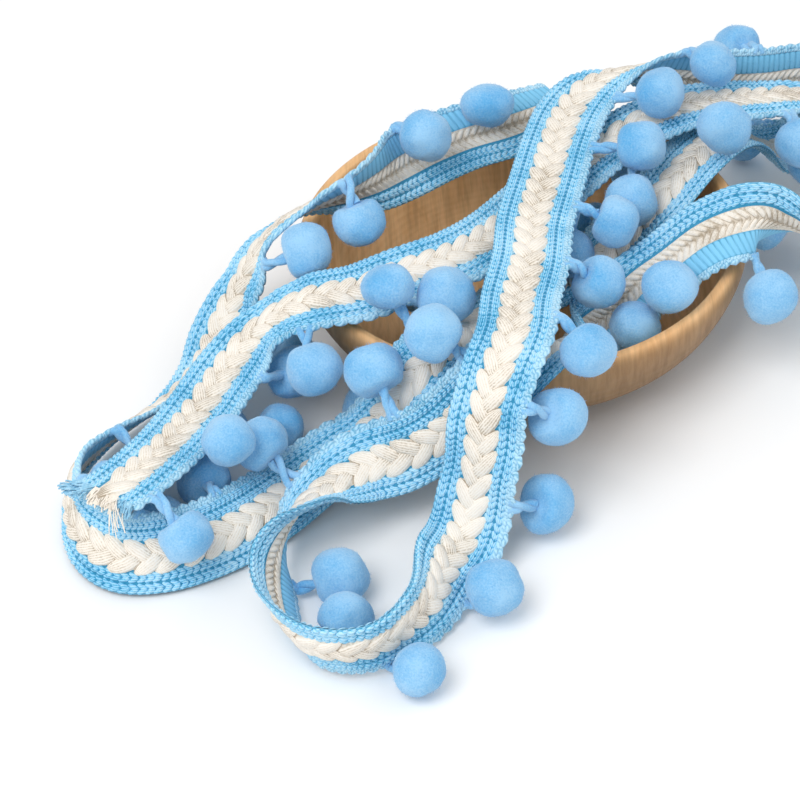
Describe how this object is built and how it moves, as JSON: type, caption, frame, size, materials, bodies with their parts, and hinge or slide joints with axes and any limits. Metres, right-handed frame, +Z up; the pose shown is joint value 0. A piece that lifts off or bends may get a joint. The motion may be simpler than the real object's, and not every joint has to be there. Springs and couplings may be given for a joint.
{
  "type": "pompom braid trim in a wooden bowl",
  "caption": "Flat woven braid trim with a raised plait and a row of felt pompoms along one edge, looped loosely in and over a small round wooden bowl.",
  "frame": {"origin": "middle of the bowl's foot, on the surface that everything lies on", "axes": "+Z up, +X to the picture's right, +Y away from the camera"},
  "size_m": [0.1951, 0.1955, 0.047],
  "materials": {
    "braid": "woven, light blue borders and a cream plait",
    "felt": "soft felt, light blue",
    "wood": "satin, turned"
  },
  "bodies": {
    "root": {"band": "braid", "pompoms_01": "felt", "pompoms_02": "felt", "pompoms_03": "felt", "pompoms_04": "felt", "pompoms_05": "felt", "pompoms_06": "felt", "pompoms_07": "felt", "pompoms_08": "felt", "pompoms_09": "felt", "pompoms_10": "felt", "pompoms_11": "felt", "pompoms_12": "felt", "pompoms_13": "felt", "pompoms_14": "felt", "pompoms_15": "felt", "pompoms_16": "felt", "pompoms_17": "felt", "pompoms_18": "felt", "pompoms_19": "felt", "bowl": "wood"}
  },
  "joints": []
}
